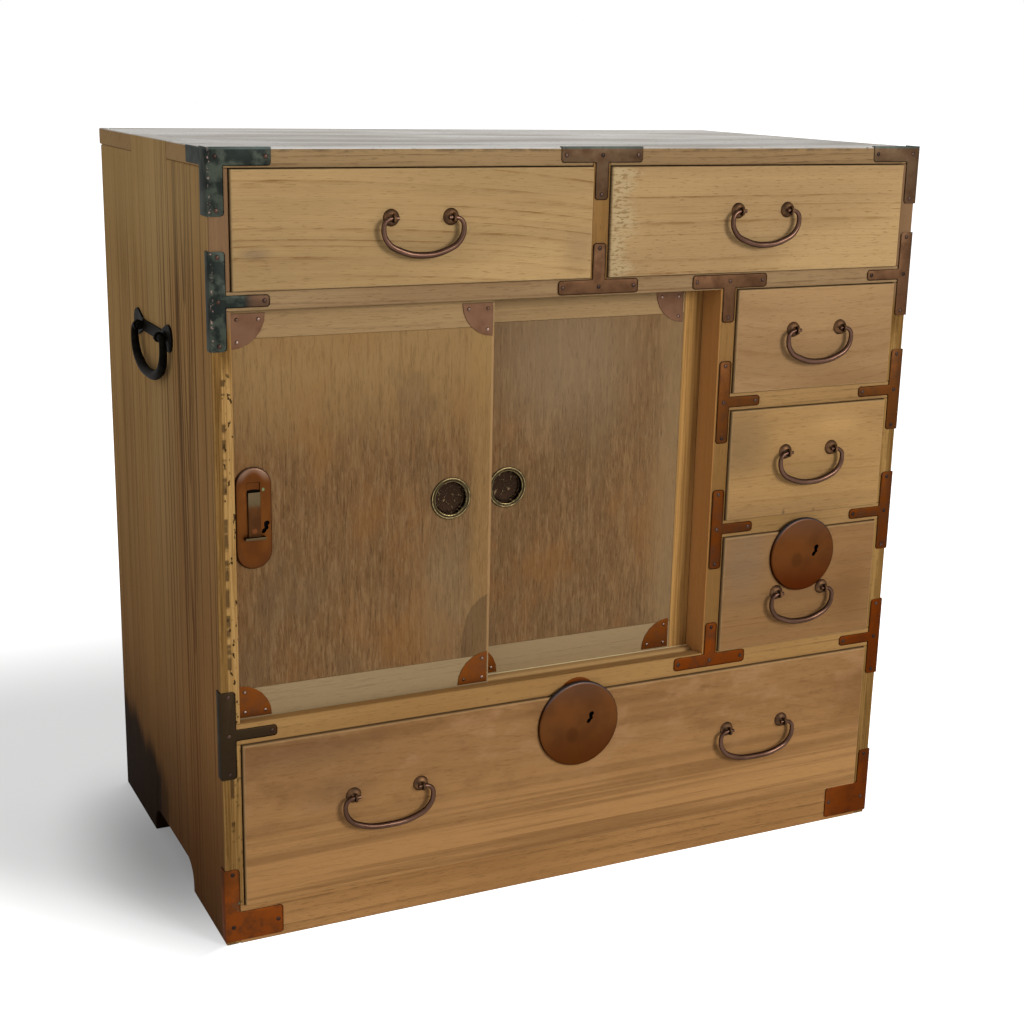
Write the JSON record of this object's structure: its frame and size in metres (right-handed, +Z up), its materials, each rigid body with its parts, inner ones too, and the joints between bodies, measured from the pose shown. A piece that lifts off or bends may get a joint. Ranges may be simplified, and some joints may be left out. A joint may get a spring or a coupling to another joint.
{
  "type": "small tansu chest",
  "caption": "Low wooden storage chest with drawers, a cupboard with sliding doors, swinging drawer bails, side carrying bails and copper corner plates",
  "frame": {"origin": "centre of the bounding box footprint, on the floor", "axes": "+X to the chest's own right-hand side as seen from the front (width), +Y towards the back, +Z up"},
  "size_m": [0.7866, 0.4367, 0.759],
  "materials": {
    "side_wood": "weathered paulownia, dark vertical streaks",
    "top_wood": "greyed paulownia with dark specks",
    "drawer_front_wood": "tan paulownia with brown grain",
    "door_wood": "grey brown paulownia, fine upright grain",
    "cleat_wood": "pale greyish paulownia",
    "inner_wood": "plain unfinished paulownia",
    "frame_wood": "tan paulownia, worn edges",
    "black_iron": "blackened wrought iron",
    "lock_iron": "plain iron",
    "pull_brass": "aged brass",
    "bail_copper": "dark aged copper alloy",
    "eye_bronze": "aged bronze",
    "disc_copper": "polished brown copper",
    "plate_copper": "brown copper plate with patina"
  },
  "bodies": {
    "case": {"left_side_board": "side_wood", "right_side_board": "side_wood", "top_board": "top_wood", "upper_shelf": "frame_wood", "lower_shelf": "frame_wood", "upper_small_shelf": "frame_wood", "lower_small_shelf": "frame_wood", "bottom_board": "inner_wood", "base_rail": "frame_wood", "top_divider": "frame_wood", "cupboard_divider": "frame_wood", "back_boards": "inner_wood", "corner_plates": "plate_copper", "edge_plates": "plate_copper", "divider_plates": "plate_copper", "plate_nails": "plate_copper", "keeper_plate": "plate_copper", "left_carry_plate": "black_iron", "right_carry_plate": "black_iron"},
    "left_door": {"left_door_panel": "door_wood", "left_door_cleats": "cleat_wood", "left_door_corner_plates": "plate_copper", "left_door_finger_pull": "pull_brass", "oval_lock_plate": "plate_copper"},
    "latch": {"latch_slide": "plate_copper"},
    "right_door": {"right_door_panel": "door_wood", "right_door_cleats": "cleat_wood", "right_door_corner_plates": "plate_copper", "right_door_finger_pull": "pull_brass"},
    "top_left_drawer": {"top_left_drawer_front": "drawer_front_wood", "top_left_drawer_box": "inner_wood", "top_left_drawer_handle_eyes": "eye_bronze"},
    "top_left_drawer_bail": {"top_left_drawer_bail": "bail_copper"},
    "top_right_drawer": {"top_right_drawer_front": "drawer_front_wood", "top_right_drawer_box": "inner_wood", "top_right_drawer_handle_eyes": "eye_bronze"},
    "top_right_drawer_bail": {"top_right_drawer_bail": "bail_copper"},
    "upper_small_drawer": {"upper_small_drawer_front": "drawer_front_wood", "upper_small_drawer_box": "inner_wood", "upper_small_drawer_handle_eyes": "eye_bronze"},
    "upper_small_drawer_bail": {"upper_small_drawer_bail": "bail_copper"},
    "middle_small_drawer": {"middle_small_drawer_front": "drawer_front_wood", "middle_small_drawer_box": "inner_wood", "middle_small_drawer_handle_eyes": "eye_bronze"},
    "middle_small_drawer_bail": {"middle_small_drawer_bail": "bail_copper"},
    "lower_small_drawer": {"lower_small_drawer_front": "drawer_front_wood", "lower_small_drawer_box": "inner_wood", "lower_small_drawer_handle_eyes": "eye_bronze", "lower_small_drawer_lock": "disc_copper"},
    "lower_small_drawer_lock_bolt": {"lower_small_drawer_lock_bolt": "lock_iron"},
    "lower_small_drawer_bail": {"lower_small_drawer_bail": "bail_copper"},
    "bottom_drawer": {"bottom_drawer_front": "drawer_front_wood", "bottom_drawer_box": "inner_wood", "bottom_drawer_handle_eyes": "eye_bronze", "bottom_drawer_lock": "disc_copper"},
    "bottom_drawer_lock_bolt": {"bottom_drawer_lock_bolt": "lock_iron"},
    "bottom_drawer_left_bail": {"bottom_drawer_left_bail": "bail_copper"},
    "bottom_drawer_right_bail": {"bottom_drawer_right_bail": "bail_copper"},
    "left_carry_bail": {"left_carry_bail": "black_iron"},
    "right_carry_bail": {"right_carry_bail": "black_iron"}
  },
  "joints": [
    {"name": "left_door_travel", "type": "slide", "parent": "case", "child": "left_door", "axis": [1, 0, 0], "range_m": [0, 0.2465]},
    {"name": "right_door_travel", "type": "slide", "parent": "case", "child": "right_door", "axis": [-1, 0, 0], "range_m": [0, 0.2465]},
    {"name": "latch_travel", "type": "slide", "parent": "left_door", "child": "latch", "axis": [0, 0, 1], "range_m": [0, 0.0055]},
    {"name": "top_left_drawer_travel", "type": "slide", "parent": "case", "child": "top_left_drawer", "axis": [0, -1, 0], "range_m": [0, 0.3]},
    {"name": "top_left_drawer_bail_swing", "type": "hinge", "parent": "top_left_drawer", "child": "top_left_drawer_bail", "pos_m": [-0.18375, -0.21465, 0.6965], "axis": [-1, 0, 0], "range_deg": [0, 170]},
    {"name": "top_right_drawer_travel", "type": "slide", "parent": "case", "child": "top_right_drawer", "axis": [0, -1, 0], "range_m": [0, 0.3]},
    {"name": "top_right_drawer_bail_swing", "type": "hinge", "parent": "top_right_drawer", "child": "top_right_drawer_bail", "pos_m": [0.188, -0.21465, 0.6965], "axis": [-1, 0, 0], "range_deg": [0, 170]},
    {"name": "upper_small_drawer_travel", "type": "slide", "parent": "case", "child": "upper_small_drawer", "axis": [0, -1, 0], "range_m": [0, 0.3]},
    {"name": "upper_small_drawer_bail_swing", "type": "hinge", "parent": "upper_small_drawer", "child": "upper_small_drawer_bail", "pos_m": [0.26375, -0.21465, 0.57375], "axis": [-1, 0, 0], "range_deg": [0, 170]},
    {"name": "middle_small_drawer_travel", "type": "slide", "parent": "case", "child": "middle_small_drawer", "axis": [0, -1, 0], "range_m": [0, 0.3]},
    {"name": "middle_small_drawer_bail_swing", "type": "hinge", "parent": "middle_small_drawer", "child": "middle_small_drawer_bail", "pos_m": [0.26375, -0.21465, 0.44405], "axis": [-1, 0, 0], "range_deg": [0, 170]},
    {"name": "lower_small_drawer_travel", "type": "slide", "parent": "case", "child": "lower_small_drawer", "axis": [0, -1, 0], "range_m": [0, 0.3]},
    {"name": "lower_small_drawer_lock_bolt_travel", "type": "slide", "parent": "lower_small_drawer", "child": "lower_small_drawer_lock_bolt", "axis": [0, 0, 1], "range_m": [0, 0.006]},
    {"name": "lower_small_drawer_bail_swing", "type": "hinge", "parent": "lower_small_drawer", "child": "lower_small_drawer_bail", "pos_m": [0.26375, -0.21465, 0.288], "axis": [-1, 0, 0], "range_deg": [0, 170]},
    {"name": "bottom_drawer_travel", "type": "slide", "parent": "case", "child": "bottom_drawer", "axis": [0, -1, 0], "range_m": [0, 0.3]},
    {"name": "bottom_drawer_lock_bolt_travel", "type": "slide", "parent": "bottom_drawer", "child": "bottom_drawer_lock_bolt", "axis": [0, 0, 1], "range_m": [0, 0.006]},
    {"name": "bottom_drawer_left_bail_swing", "type": "hinge", "parent": "bottom_drawer", "child": "bottom_drawer_left_bail", "pos_m": [-0.216, -0.21465, 0.138], "axis": [-1, 0, 0], "range_deg": [0, 170]},
    {"name": "bottom_drawer_right_bail_swing", "type": "hinge", "parent": "bottom_drawer", "child": "bottom_drawer_right_bail", "pos_m": [0.216, -0.21465, 0.138], "axis": [-1, 0, 0], "range_deg": [0, 170]},
    {"name": "left_carry_bail_swing", "type": "hinge", "parent": "case", "child": "left_carry_bail", "pos_m": [-0.3884, -0.00275, 0.572], "axis": [0, 1, 0], "range_deg": [0, 120]},
    {"name": "right_carry_bail_swing", "type": "hinge", "parent": "case", "child": "right_carry_bail", "pos_m": [0.3884, -0.00275, 0.572], "axis": [0, -1, 0], "range_deg": [0, 120]}
  ]
}
